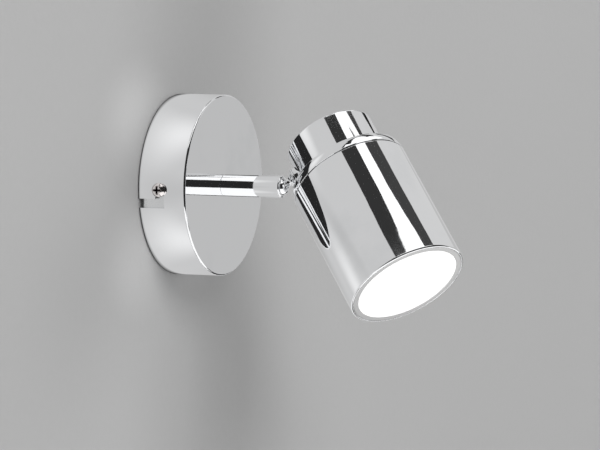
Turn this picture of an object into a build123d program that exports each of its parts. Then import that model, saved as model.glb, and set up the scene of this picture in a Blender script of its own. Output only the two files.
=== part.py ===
from build123d import *
from math import asin, cos, degrees, radians, sin, sqrt
import os

# Pivoting spotlight wall light, in millimetres. The wall is the plane y = 0, the light stands out
# along -Y and +Z is up. The origin is the centre of the round canopy on the wall.

os.makedirs("parts", exist_ok=True)

# Canopy, the round cover on the wall
canopy_radius = 45.5
canopy_depth = 25.5
canopy_wall = 1.2
canopy_edge_round = 1.0

# Bayonet slots and the two side screws that hold the canopy on the bracket
side_screw_distance = 11.6
slot_width = 4.6
slot_entry_offset = 6.8
screw_shank_radius = 2.0
screw_head_radius = 3.9
screw_head_height = 3.0
screw_head_round = 1.6
screw_length = 7.0
recess_length = 4.2
recess_width = 0.9
recess_depth = 1.7
thread_clearance = 0.05

# Mounting bracket on the wall
bracket_width = 22.0
lug_gap = 1.3
lug_shoulder = 5.6
bracket_thickness = 1.5
lug_width = 19.0
lug_thickness = 2.0
lug_depth = 16.5
lug_bend_radius = 2.0
wall_slot_spacing = 64.0
wall_slot_length = 8.0
wall_slot_width = 4.5
cable_hole_radius = 7.0
earth_position = -16.0

# Terminal block and its metal parts
block_position = 18.0
block_length = 16.0
block_width = 18.0
block_height = 13.0
block_edge = 1.0
pole_spacing = 9.0
sleeve_distance = 7.5
sleeve_length = 14.0
sleeve_radius = 2.85
sleeve_bore_radius = 1.7
sleeve_clearance = 0.05
terminal_screw_spacing = 8.0
terminal_screw_radius = 1.25
terminal_screw_head_radius = 1.85
terminal_screw_head_height = 2.0
terminal_screw_tip = 8.4
terminal_screw_head_start = 11.2
terminal_hole_radius = 2.1
small_screw_radius = 1.5
small_screw_head_radius = 2.8
small_screw_head_height = 1.8
small_head_round = 0.3
slot_recess_width = 0.7
slot_recess_depth = 0.9

# Arm tube
arm_radius = 5.5
arm_reach = 32.3
arm_thread_radius = 5.0
arm_thread_end = 17.5
arm_thread_clearance = 0.05
arm_bore_radius = 3.2
arm_end_round = 0.5
spring_shelf = 38.2
nut_flats = 14.0
nut_height = 4.0
lock_washer_radius = 8.5
lock_washer_thickness = 0.8

# Ball joint at the end of the arm
ball_radius = 4.5
ball_inset = 1.6
ball_clearance = 0.06
cup_length = 4.7
cup_rim_inset = 1.3
cup_hole_radius = 2.6
cup_clearance = 0.05
spring_wire_radius = 0.35
spring_mean_radius = 3.85
spring_pitch = 1.9
spring_gap = 0.3

# Stud between the ball and the head
neck_radius = 2.2
neck_straight_end = 4.8
flange_radius = 5.6
flange_start = 7.7
flange_thickness = 0.8
shank_radius = 3.0
stud_length = 19.0
stud_bore_radius = 1.5
bore_mouth_radius = 3.2
bore_mouth_start = 1.0
running_clearance = 0.05
saddle_radius = 5.8
saddle_edge = 0.3
bush_radius = 6.0
bush_spigot_radius = 4.2
bush_spigot_recess = 0.1
bush_inner_face = 13.0
friction_washer_radius = 5.2
friction_washer_thickness = 0.95
stud_nut_flats = 10.0
stud_nut_height = 3.0

# Pose of the head at rest: turned about the arm, tilted off it, spun on the stud
rest_swing = 49.4
rest_tilt = 37.3
rest_spin = 13.1

# Head: lengths run along its own axis from the seam at the rear of the barrel
stud_offset = 32.7
stud_station = 14.7
barrel_radius = 30.0
barrel_wall = 1.2
barrel_length = 66.5
barrel_front_round = 0.8
barrel_rear_round = 0.5
cap_radius = 22.8
cap_wall = 1.2
cap_length = 26.2
cap_floor = 1.5
cap_edge_round = 1.0
band_length = 5.5
band_drop = 1.0
band_seam_round = 0.3
band_edge_round = 0.6
step_wall = 1.2
spigot_clearance = 0.05
spigot_wall = 1.0
spigot_length = 8.0
pillar_radius = 3.0
pillar_offset = 19.0
pillar_hole_depth = 10.0
pillar_hole_spare = 1.0

# Front ring, seal and glass
ring_length = 9.0
ring_ledge_depth = 4.0
ring_ledge_width = 1.95
ring_face_width = 2.6
ring_edge = 0.2
front_recess = 0.1
glass_clearance = 0.05
glass_thickness = 3.5
glass_edge = 0.4
seal_thickness = 0.5
seal_width = 1.7

# Lamp and its holder
lamp_front_gap = 0.6
lamp_side_gap = 3.8
lamp_rim_height = 3.0
lamp_shell = 1.6
lamp_waist_radius = 14.0
lamp_waist_station = 26.0
lamp_base_radius = 12.5
lamp_base_gap = 0.3
lens_rim = 0.8
lens_thickness = 1.2
pin_spacing = 10.0
pin_neck_radius = 1.5
pin_head_radius = 2.5
pin_neck_length = 4.4
pin_head_length = 3.0
holder_radius = 14.0
holder_length = 13.2
holder_edge = 1.0
pin_hole_radius = 2.75
pin_hole_depth = 8.0
holder_screw_offset = 9.0
holder_bracket_length = 50.0
holder_bracket_width = 12.0
holder_bracket_thickness = 1.2
holder_bracket_window = 5.0

# Internal leads
lead_radius = 0.6
lead_pair_offset = 0.8
stud_lead_offset = 0.68
lead_hole_radius = 1.2
lead_end_gap = 0.5
lead_grip = 3.0
lead_drop = 1.5
lead_straight = 1.0
terminal_lead_inset = 4.0
holder_lead_offset = 4.0


# Placement of the arm axis, the stud axis and the head axis
wall_plane = Plane(origin=(0, 0, 0), x_dir=(1, 0, 0), z_dir=(0, -1, 0))
arm_profile = Plane(origin=(0, 0, 0), x_dir=(1, 0, 0), z_dir=(0, 0, -1))
arm_axis = Axis((0, 0, 0), (0, -1, 0))
arm_end = canopy_depth + arm_reach
ball_distance = arm_end - ball_inset
ball_plane = wall_plane.offset(ball_distance)
swing_turn = Rotation(0, 0, rest_swing)
tilt_turn = Rotation(0, rest_tilt, 0)
spin_turn = Rotation(0, 0, rest_spin)
stud_plane = Plane(ball_plane.location * swing_turn * tilt_turn * spin_turn)
ball_centre = stud_plane.origin
stud_direction = stud_plane.z_dir
head_direction = stud_plane.x_dir * -1
stud_axis = Axis(ball_centre, stud_direction)
stud_profile = Plane(
    origin=ball_centre,
    x_dir=stud_plane.x_dir,
    z_dir=stud_plane.x_dir.cross(stud_direction),
)
head_origin = ball_centre + stud_direction * stud_offset + head_direction * stud_station
head_plane = Plane(origin=head_origin, x_dir=stud_direction, z_dir=head_direction)
head_profile = Plane(
    origin=head_origin,
    x_dir=stud_direction,
    z_dir=stud_direction.cross(head_direction),
)
head_axis = Axis(head_origin, head_direction)


def slotted_head_screw(plane, shank_radius_used, shank, head_radius_used, head_height):
    """Screw whose head rests on the plane and whose shank runs against the plane's normal."""
    with BuildPart() as screw:
        with BuildSketch(plane):
            Circle(head_radius_used)
        extrude(amount=head_height)
        fillet(screw.edges().group_by(Axis(plane.origin, plane.z_dir))[-1], head_height * small_head_round)
        with BuildSketch(plane):
            Circle(shank_radius_used)
        extrude(amount=-shank)
        with BuildSketch(plane.offset(head_height)):
            Rectangle(2 * head_radius_used, slot_recess_width)
        extrude(amount=-slot_recess_depth, mode=Mode.SUBTRACT)
    return screw.part


# Mounting bracket: a flat strap with two bent lugs
bracket_length = 2 * (canopy_radius - canopy_wall - lug_gap)
with BuildPart() as mounting_bracket:
    with BuildSketch(wall_plane):
        Rectangle(bracket_length - 2 * lug_shoulder, bracket_width)
        Rectangle(bracket_length, lug_width)
        with Locations((-wall_slot_spacing / 2, 0), (wall_slot_spacing / 2, 0)):
            SlotOverall(wall_slot_length, wall_slot_width, mode=Mode.SUBTRACT)
        Circle(cable_hole_radius, mode=Mode.SUBTRACT)
        with Locations((earth_position, 0)):
            Circle(screw_shank_radius + thread_clearance, mode=Mode.SUBTRACT)
        with Locations((block_position, 0)):
            Circle(small_screw_radius + thread_clearance, mode=Mode.SUBTRACT)
    extrude(amount=bracket_thickness)
    with BuildSketch(wall_plane):
        lug_centre = (bracket_length - lug_thickness) / 2
        with Locations((-lug_centre, 0), (lug_centre, 0)):
            Rectangle(lug_thickness, lug_width)
    extrude(amount=lug_depth)
    bend_edges = mounting_bracket.edges().filter_by(Axis.Z).group_by(Axis.Y)[-1]
    fillet(bend_edges.group_by(Axis.X)[0] + bend_edges.group_by(Axis.X)[-1], lug_bend_radius)
    with BuildSketch(Plane.YZ):
        with Locations((-side_screw_distance, 0)):
            Circle(screw_shank_radius + thread_clearance)
    extrude(amount=canopy_radius, both=True, mode=Mode.SUBTRACT)
mounting_bracket.part.label = "mounting_bracket"
export_step(mounting_bracket.part, "parts/mounting_bracket.step")

# Canopy: a round pressed cup, open to the wall, with two L-shaped bayonet slots
with BuildPart() as canopy:
    with BuildSketch(wall_plane):
        Circle(canopy_radius)
    extrude(amount=canopy_depth)
    fillet(canopy.edges().group_by(Axis.Y)[0], canopy_edge_round)
    with BuildSketch(wall_plane):
        Circle(canopy_radius - canopy_wall)
    extrude(amount=canopy_depth - canopy_wall, mode=Mode.SUBTRACT)
    with BuildSketch(wall_plane):
        Circle(arm_thread_radius + arm_thread_clearance)
    extrude(amount=canopy_depth, mode=Mode.SUBTRACT)
    slot_end = side_screw_distance + slot_width / 2
    for side in (-1, 1):
        with BuildSketch(Plane.YZ):
            with Locations((-slot_end / 2, side * slot_entry_offset)):
                Rectangle(slot_end, slot_width)
            with Locations((-side_screw_distance, side * slot_entry_offset / 2)):
                Rectangle(slot_width, slot_entry_offset + slot_width)
        extrude(amount=side * (canopy_radius + canopy_wall), mode=Mode.SUBTRACT)
canopy.part.label = "canopy"
export_step(canopy.part, "parts/canopy.step")

# Side screws: round heads with cross recesses, seated on the canopy and threaded in the lugs
with BuildPart() as canopy_screws:
    for side in (-1, 1):
        screw_plane = Plane(
            origin=(side * canopy_radius, -side_screw_distance, 0),
            x_dir=(0, 1, 0),
            z_dir=(side, 0, 0),
        )
        with BuildPart(mode=Mode.PRIVATE) as one_screw:
            with BuildSketch(screw_plane):
                Circle(screw_head_radius)
            extrude(amount=screw_head_height)
            outer_rim = one_screw.edges().group_by(Axis(screw_plane.origin, screw_plane.z_dir))[-1]
            fillet(outer_rim, screw_head_round)
            with BuildSketch(screw_plane):
                Circle(screw_shank_radius)
            extrude(amount=-screw_length)
            with BuildSketch(screw_plane.offset(screw_head_height)):
                with Locations(Rotation(0, 0, 45)):
                    Rectangle(recess_length, recess_width)
                    Rectangle(recess_width, recess_length)
            extrude(amount=-recess_depth, mode=Mode.SUBTRACT)
        add(one_screw.part)
canopy_screws.part.label = "canopy_screws"
export_step(canopy_screws.part, "parts/canopy_screws.step")

# Terminal block: a moulded body with two poles
block_plane = wall_plane.offset(bracket_thickness)
sleeve_plane = Plane(origin=(block_position, -sleeve_distance, 0), x_dir=(0, 1, 0), z_dir=(1, 0, 0))
with BuildPart() as terminal_block:
    with BuildSketch(block_plane):
        with Locations((block_position, 0)):
            Rectangle(block_length, block_width)
    extrude(amount=block_height)
    chamfer(terminal_block.edges().group_by(Axis.Y)[0], block_edge)
    with BuildSketch(sleeve_plane):
        with Locations((0, -pole_spacing / 2), (0, pole_spacing / 2)):
            Circle(sleeve_radius + sleeve_clearance)
    extrude(amount=block_length, both=True, mode=Mode.SUBTRACT)
    with BuildSketch(wall_plane.offset(sleeve_distance)):
        with Locations((block_position, 0)):
            with GridLocations(terminal_screw_spacing, pole_spacing, 2, 2):
                Circle(terminal_hole_radius)
    extrude(amount=block_height, mode=Mode.SUBTRACT)
    with BuildSketch(wall_plane):
        with Locations((block_position, 0)):
            Circle(small_screw_radius + thread_clearance)
    extrude(amount=2 * block_height, mode=Mode.SUBTRACT)
terminal_block.part.label = "terminal_block"
export_step(terminal_block.part, "parts/terminal_block.step")

# Brass sleeves inside the block
with BuildPart() as terminal_sleeves:
    with BuildSketch(sleeve_plane):
        with Locations((0, -pole_spacing / 2), (0, pole_spacing / 2)):
            Circle(sleeve_radius)
            Circle(sleeve_bore_radius, mode=Mode.SUBTRACT)
    extrude(amount=sleeve_length / 2, both=True)
    with BuildSketch(wall_plane.offset(sleeve_distance)):
        with Locations((block_position, 0)):
            with GridLocations(terminal_screw_spacing, pole_spacing, 2, 2):
                Circle(terminal_screw_radius + thread_clearance)
    extrude(amount=2 * sleeve_radius, mode=Mode.SUBTRACT)
terminal_sleeves.part.label = "terminal_sleeves"
export_step(terminal_sleeves.part, "parts/terminal_sleeves.step")

# Clamping screws of the terminals
with BuildPart() as terminal_screws:
    for along in (-terminal_screw_spacing / 2, terminal_screw_spacing / 2):
        for across in (-pole_spacing / 2, pole_spacing / 2):
            seat = Plane(
                origin=(block_position + along, -terminal_screw_head_start, across),
                x_dir=(1, 0, 0),
                z_dir=(0, -1, 0),
            )
            add(
                slotted_head_screw(
                    seat,
                    terminal_screw_radius,
                    terminal_screw_head_start - terminal_screw_tip,
                    terminal_screw_head_radius,
                    terminal_screw_head_height,
                )
            )
terminal_screws.part.label = "terminal_screws"
export_step(terminal_screws.part, "parts/terminal_screws.step")

# Screw that holds the block on the bracket
block_front = bracket_thickness + block_height
block_screw_seat = Plane(origin=(block_position, -block_front, 0), x_dir=(1, 0, 0), z_dir=(0, -1, 0))
with BuildPart() as block_screw:
    add(
        slotted_head_screw(
            block_screw_seat,
            small_screw_radius,
            block_front,
            small_screw_head_radius,
            small_screw_head_height,
        )
    )
block_screw.part.label = "block_screw"
export_step(block_screw.part, "parts/block_screw.step")

# Earth screw on the bracket
earth_seat = Plane(origin=(earth_position, -bracket_thickness, 0), x_dir=(1, 0, 0), z_dir=(0, -1, 0))
with BuildPart() as earth_screw:
    add(
        slotted_head_screw(
            earth_seat,
            screw_shank_radius,
            bracket_thickness,
            screw_head_radius,
            screw_head_height,
        )
    )
earth_screw.part.label = "earth_screw"
export_step(earth_screw.part, "parts/earth_screw.step")

# Arm tube: threaded rear end, bore for the spring, and a lip rolled over the ball
socket_radius = ball_radius + ball_clearance
lip_angle = degrees(asin(ball_inset / socket_radius))
lip_radius = sqrt(socket_radius**2 - ball_inset**2)
with BuildPart() as arm_tube:
    with BuildSketch(arm_profile):
        with BuildLine():
            Polyline(
                (lip_radius, arm_end),
                (arm_radius, arm_end),
                (arm_radius, canopy_depth),
                (arm_thread_radius, canopy_depth),
                (arm_thread_radius, arm_thread_end),
                (arm_bore_radius, arm_thread_end),
                (arm_bore_radius, spring_shelf),
                (socket_radius, spring_shelf),
                (socket_radius, ball_distance),
            )
            CenterArc((0, ball_distance), socket_radius, 0, lip_angle)
        make_face()
        fillet(vertices().sort_by_distance((arm_radius, arm_end))[0], arm_end_round)
    revolve(axis=arm_axis)
arm_tube.part.label = "arm_tube"
export_step(arm_tube.part, "parts/arm_tube.step")

# Lock washer and nut behind the canopy front
canopy_inner_face = canopy_depth - canopy_wall
washer_face = canopy_inner_face - lock_washer_thickness
with BuildPart() as arm_washer:
    with BuildSketch(wall_plane.offset(washer_face)):
        Circle(lock_washer_radius)
        Circle(arm_thread_radius + arm_thread_clearance, mode=Mode.SUBTRACT)
    extrude(amount=lock_washer_thickness)
arm_washer.part.label = "arm_washer"
export_step(arm_washer.part, "parts/arm_washer.step")

with BuildPart() as arm_nut:
    with BuildSketch(wall_plane.offset(washer_face - nut_height)):
        RegularPolygon(nut_flats / 2, 6, major_radius=False)
        Circle(arm_thread_radius + arm_thread_clearance, mode=Mode.SUBTRACT)
    extrude(amount=nut_height)
arm_nut.part.label = "arm_nut"
export_step(arm_nut.part, "parts/arm_nut.step")

# Cup behind the ball and the coil spring that presses it forward
cup_rear = ball_distance - cup_rim_inset - cup_length
cup_rim_angle = degrees(asin(cup_rim_inset / socket_radius))
cup_hole_angle = 90 - degrees(asin(cup_hole_radius / socket_radius))
with BuildPart() as seat_cup:
    with BuildSketch(arm_profile):
        with BuildLine():
            ball_face = CenterArc(
                (0, ball_distance), socket_radius, -cup_hole_angle, cup_hole_angle - cup_rim_angle
            )
            Polyline(
                ball_face @ 1,
                (socket_radius - cup_clearance, ball_distance - cup_rim_inset),
                (socket_radius - cup_clearance, cup_rear),
                (cup_hole_radius, cup_rear),
                ball_face @ 0,
            )
        make_face()
    revolve(axis=arm_axis)
seat_cup.part.label = "seat_cup"
export_step(seat_cup.part, "parts/seat_cup.step")

spring_start = spring_shelf + spring_wire_radius + spring_gap
spring_rise = cup_rear - spring_start - spring_wire_radius - spring_gap
with BuildPart() as seat_spring:
    with BuildLine():
        coil = Helix(
            pitch=spring_pitch,
            height=spring_rise,
            radius=spring_mean_radius,
            center=(0, -spring_start, 0),
            direction=(0, -1, 0),
        )
    with BuildSketch(Plane(origin=coil @ 0, z_dir=coil % 0)):
        Circle(spring_wire_radius)
    sweep(is_frenet=True)
seat_spring.part.label = "seat_spring"
export_step(seat_spring.part, "parts/seat_spring.step")

# Ball stud: bored ball, thin neck that flares into a flange, and threaded shank in one piece
mouth_depth = sqrt(ball_radius**2 - bore_mouth_radius**2)
neck_foot = sqrt(ball_radius**2 - neck_radius**2)
flange_face = flange_start + flange_thickness
with BuildPart() as ball_stud:
    with BuildSketch(stud_profile):
        with BuildLine():
            ThreePointArc((bore_mouth_radius, -mouth_depth), (ball_radius, 0), (neck_radius, neck_foot))
            Line((neck_radius, neck_foot), (neck_radius, neck_straight_end))
            Spline(
                (neck_radius, neck_straight_end),
                (flange_radius, flange_start),
                tangents=((0, 1), (1, 0.2)),
            )
            Polyline(
                (flange_radius, flange_start),
                (flange_radius, flange_face),
                (shank_radius, flange_face),
                (shank_radius, stud_length),
                (stud_bore_radius, stud_length),
                (stud_bore_radius, -bore_mouth_start),
                (bore_mouth_radius, -mouth_depth),
            )
        make_face()
    revolve(axis=stud_axis)
ball_stud.part.label = "ball_stud"
export_step(ball_stud.part, "parts/ball_stud.step")

# Saddle washer: round disc whose far face hugs the side of the cap
saddle_face = flange_face + running_clearance
with BuildPart() as saddle_washer:
    with BuildSketch(stud_plane.offset(saddle_face)):
        Circle(saddle_radius)
        Circle(shank_radius + running_clearance, mode=Mode.SUBTRACT)
    extrude(amount=saddle_radius)
    chamfer(saddle_washer.edges().group_by(stud_axis)[0].sort_by(SortBy.RADIUS)[-1], saddle_edge)
    with BuildSketch(head_plane):
        Circle(cap_radius)
    extrude(amount=cap_length, both=True, mode=Mode.SUBTRACT)
saddle_washer.part.label = "saddle_washer"
export_step(saddle_washer.part, "parts/saddle_washer.step")

# Pivot bush: spigot in the hole of the cap, flange shaped to the cap's inside
bush_spigot_start = stud_offset - sqrt(cap_radius**2 - bush_spigot_radius**2) + bush_spigot_recess
with BuildPart() as pivot_bush:
    with BuildSketch(stud_plane.offset(bush_spigot_start)):
        Circle(bush_radius)
    extrude(amount=bush_inner_face - bush_spigot_start)
    with BuildSketch(head_plane):
        Circle(cap_radius - cap_wall)
    extrude(amount=cap_length, both=True, mode=Mode.INTERSECT)
    with BuildSketch(stud_plane.offset(bush_spigot_start)):
        Circle(bush_spigot_radius)
    extrude(amount=bush_inner_face - bush_spigot_start)
    with BuildSketch(stud_plane):
        Circle(shank_radius + running_clearance)
    extrude(amount=stud_length, mode=Mode.SUBTRACT)
pivot_bush.part.label = "pivot_bush"
export_step(pivot_bush.part, "parts/pivot_bush.step")

# Friction washer and nut on the shank, inside the cap
with BuildPart() as friction_washer:
    with BuildSketch(stud_plane.offset(bush_inner_face + running_clearance)):
        Circle(friction_washer_radius)
        Circle(shank_radius + thread_clearance, mode=Mode.SUBTRACT)
    extrude(amount=friction_washer_thickness)
friction_washer.part.label = "friction_washer"
export_step(friction_washer.part, "parts/friction_washer.step")

nut_face = bush_inner_face + running_clearance + friction_washer_thickness
with BuildPart() as stud_nut:
    with BuildSketch(stud_plane.offset(nut_face)):
        RegularPolygon(stud_nut_flats / 2, 6, major_radius=False)
        Circle(shank_radius + thread_clearance, mode=Mode.SUBTRACT)
    extrude(amount=stud_nut_height)
stud_nut.part.label = "stud_nut"
export_step(stud_nut.part, "parts/stud_nut.step")

# Rear housing: the cap, a flat step, the band behind the seam and the spigot in the barrel
spigot_radius = barrel_radius - barrel_wall - spigot_clearance
spigot_bore = spigot_radius - spigot_wall
step_face = step_wall - band_length
band_rear_radius = barrel_radius - band_drop
with BuildPart() as rear_housing:
    with BuildSketch(head_profile):
        with BuildLine():
            Polyline(
                (barrel_radius, 0),
                (spigot_radius, 0),
                (spigot_radius, spigot_length),
                (spigot_bore, spigot_length),
                (spigot_bore, step_face),
                (cap_radius - cap_wall, step_face),
                (cap_radius - cap_wall, cap_floor - cap_length),
                (0, cap_floor - cap_length),
                (0, -cap_length),
                (cap_radius, -cap_length),
                (cap_radius, -band_length),
                (band_rear_radius, -band_length),
            )
            Spline(
                (band_rear_radius, -band_length),
                (barrel_radius, 0),
                tangents=((0.35, 1), (0, 1)),
            )
        make_face()
        fillet(vertices().sort_by_distance((cap_radius, -cap_length))[0], cap_edge_round)
        fillet(vertices().sort_by_distance((band_rear_radius, -band_length))[0], band_edge_round)
        fillet(vertices().sort_by_distance((barrel_radius, 0))[0], band_seam_round)
    revolve(axis=head_axis)
    with BuildSketch(head_plane.offset(cap_floor - cap_length)):
        with Locations((0, -pillar_offset), (0, pillar_offset)):
            Circle(pillar_radius)
    extrude(amount=cap_length - cap_floor + step_face)
    with BuildSketch(head_plane.offset(step_face)):
        with Locations((0, -pillar_offset), (0, pillar_offset)):
            Circle(small_screw_radius + thread_clearance)
    extrude(amount=-pillar_hole_depth, mode=Mode.SUBTRACT)
    with BuildSketch(stud_plane):
        Circle(bush_spigot_radius)
    extrude(amount=bush_inner_face, mode=Mode.SUBTRACT)
rear_housing.part.label = "rear_housing"
export_step(rear_housing.part, "parts/rear_housing.step")

# Barrel sleeve: a plain tube with a rounded front lip
with BuildPart() as barrel_sleeve:
    with BuildSketch(head_profile):
        with BuildLine():
            Polyline(
                (barrel_radius - barrel_wall, 0),
                (barrel_radius, 0),
                (barrel_radius, barrel_length),
                (barrel_radius - barrel_wall, barrel_length),
                close=True,
            )
        make_face()
        fillet(vertices().sort_by_distance((barrel_radius, barrel_length))[0], barrel_front_round)
        fillet(vertices().sort_by_distance((barrel_radius, 0))[0], barrel_rear_round)
    revolve(axis=head_axis)
barrel_sleeve.part.label = "barrel_sleeve"
export_step(barrel_sleeve.part, "parts/barrel_sleeve.step")

# Front ring screwed into the barrel, with a ledge behind the glass
ring_face = barrel_length - front_recess
ledge_station = ring_face - ring_ledge_depth
ring_bore = spigot_radius - ring_face_width
ring_ledge_radius = ring_bore - ring_ledge_width
ring_rear = ring_face - ring_length
glass_radius = ring_bore - glass_clearance
with BuildPart() as front_ring:
    with BuildSketch(head_profile):
        with BuildLine():
            Polyline(
                (ring_bore, ring_face),
                (spigot_radius, ring_face),
                (spigot_radius, ring_rear),
                (ring_ledge_radius, ring_rear),
                (ring_ledge_radius, ledge_station),
                (ring_bore, ledge_station),
                close=True,
            )
        make_face()
        chamfer(vertices().sort_by_distance((spigot_radius, ring_face))[0], ring_edge)
        chamfer(vertices().sort_by_distance((ring_bore, ring_face))[0], ring_edge)
    revolve(axis=head_axis)
front_ring.part.label = "front_ring"
export_step(front_ring.part, "parts/front_ring.step")

# Seal ring on the ledge and the diffuser glass on the seal
with BuildPart() as glass_seal:
    with BuildSketch(head_plane.offset(ledge_station)):
        Circle(glass_radius)
        Circle(glass_radius - seal_width, mode=Mode.SUBTRACT)
    extrude(amount=seal_thickness)
glass_seal.part.label = "glass_seal"
export_step(glass_seal.part, "parts/glass_seal.step")

with BuildPart() as glass_disc:
    with BuildSketch(head_plane.offset(ledge_station + seal_thickness)):
        Circle(glass_radius)
    extrude(amount=glass_thickness)
    chamfer(glass_disc.edges().group_by(head_axis)[-1], glass_edge)
glass_disc.part.label = "glass_disc"
export_step(glass_disc.part, "parts/glass_disc.step")

# Reflector lamp: hollow shell, front lens on its ledge and two studded pins
bracket_front = step_face + holder_bracket_thickness
holder_front = bracket_front + holder_length
lamp_base_station = holder_front + lamp_base_gap
lamp_front = ring_rear - lamp_front_gap
lamp_radius = barrel_radius - barrel_wall - lamp_side_gap
lens_radius = lamp_radius - lens_rim
lens_ledge = lamp_front - lens_thickness
rim_foot = lamp_front - lamp_rim_height
with BuildPart() as lamp_body:
    with BuildSketch(head_profile):
        with BuildLine():
            Polyline(
                (lamp_waist_radius, lamp_waist_station),
                (lamp_base_radius, lamp_base_station),
                (0, lamp_base_station),
                (0, lamp_base_station + lamp_shell),
                (lamp_base_radius - lamp_shell, lamp_base_station + lamp_shell),
                (lamp_waist_radius - lamp_shell, lamp_waist_station),
            )
            Spline(
                (lamp_waist_radius - lamp_shell, lamp_waist_station),
                (lamp_radius - lamp_shell, rim_foot),
                tangents=((0.3, 1), (0.1, 1)),
            )
            Polyline(
                (lamp_radius - lamp_shell, rim_foot),
                (lamp_radius - lamp_shell, lens_ledge),
                (lens_radius, lens_ledge),
                (lens_radius, lamp_front),
                (lamp_radius, lamp_front),
                (lamp_radius, rim_foot),
            )
            Spline(
                (lamp_radius, rim_foot),
                (lamp_waist_radius, lamp_waist_station),
                tangents=((-0.1, -1), (-0.3, -1)),
            )
        make_face()
    revolve(axis=head_axis)
lamp_body.part.label = "lamp_body"
export_step(lamp_body.part, "parts/lamp_body.step")

with BuildPart() as lamp_lens:
    with BuildSketch(head_plane.offset(lens_ledge)):
        Circle(lens_radius)
    extrude(amount=lens_thickness)
lamp_lens.part.label = "lamp_lens"
export_step(lamp_lens.part, "parts/lamp_lens.step")

pin_head_station = lamp_base_station - pin_neck_length
with BuildPart() as lamp_pins:
    with BuildSketch(head_plane.offset(pin_head_station)):
        with Locations((0, -pin_spacing / 2), (0, pin_spacing / 2)):
            Circle(pin_neck_radius)
    extrude(amount=pin_neck_length)
    with BuildSketch(head_plane.offset(pin_head_station)):
        with Locations((0, -pin_spacing / 2), (0, pin_spacing / 2)):
            Circle(pin_head_radius)
    extrude(amount=-pin_head_length)
lamp_pins.part.label = "lamp_pins"
export_step(lamp_pins.part, "parts/lamp_pins.step")

# Ceramic lampholder with two pin holes, lead holes and blind screw holes
with BuildPart() as lampholder:
    with BuildSketch(head_plane.offset(bracket_front)):
        Circle(holder_radius)
    extrude(amount=holder_length)
    chamfer(lampholder.edges().group_by(head_axis)[-1], holder_edge)
    with BuildSketch(head_plane.offset(holder_front)):
        with Locations((0, -pin_spacing / 2), (0, pin_spacing / 2)):
            Circle(pin_hole_radius)
    extrude(amount=-pin_hole_depth, mode=Mode.SUBTRACT)
    with BuildSketch(head_plane.offset(bracket_front)):
        with Locations((0, -holder_lead_offset), (0, holder_lead_offset)):
            Circle(lead_hole_radius)
        with Locations((-holder_screw_offset, 0), (holder_screw_offset, 0)):
            Circle(small_screw_radius + thread_clearance)
    extrude(amount=holder_length - pin_hole_depth, mode=Mode.SUBTRACT)
lampholder.part.label = "lampholder"
export_step(lampholder.part, "parts/lampholder.step")

# Strip that carries the holder on the two pillars of the rear housing
with BuildPart() as holder_bracket:
    with BuildSketch(head_plane.offset(step_face)):
        Rectangle(holder_bracket_width, holder_bracket_length)
        Circle(holder_radius)
        SlotOverall(
            2 * holder_lead_offset + holder_bracket_window,
            holder_bracket_window,
            rotation=90,
            mode=Mode.SUBTRACT,
        )
        with Locations((0, -pillar_offset), (0, pillar_offset)):
            Circle(small_screw_radius + thread_clearance, mode=Mode.SUBTRACT)
        with Locations((-holder_screw_offset, 0), (holder_screw_offset, 0)):
            Circle(small_screw_radius + thread_clearance, mode=Mode.SUBTRACT)
    extrude(amount=holder_bracket_thickness)
holder_bracket.part.label = "holder_bracket"
export_step(holder_bracket.part, "parts/holder_bracket.step")

# Screws: two into the pillars from the front, two into the holder from behind
with BuildPart() as bracket_screws:
    for side in (-1, 1):
        with Locations(head_plane.offset(bracket_front).location * Location((0, side * pillar_offset, 0))):
            add(
                slotted_head_screw(
                    Plane.XY,
                    small_screw_radius,
                    holder_bracket_thickness + pillar_hole_depth - pillar_hole_spare,
                    small_screw_head_radius,
                    small_screw_head_height,
                )
            )
bracket_screws.part.label = "bracket_screws"
export_step(bracket_screws.part, "parts/bracket_screws.step")

rear_facing = Plane(
    origin=head_plane.offset(step_face).origin,
    x_dir=head_plane.x_dir,
    z_dir=head_plane.z_dir * -1,
)
with BuildPart() as socket_screws:
    for side in (-1, 1):
        with Locations(rear_facing.location * Location((side * holder_screw_offset, 0, 0))):
            add(
                slotted_head_screw(
                    Plane.XY,
                    small_screw_radius,
                    holder_bracket_thickness + holder_length - pin_hole_depth - pillar_hole_spare,
                    small_screw_head_radius,
                    small_screw_head_height,
                )
            )
socket_screws.part.label = "socket_screws"
export_step(socket_screws.part, "parts/socket_screws.step")

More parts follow.
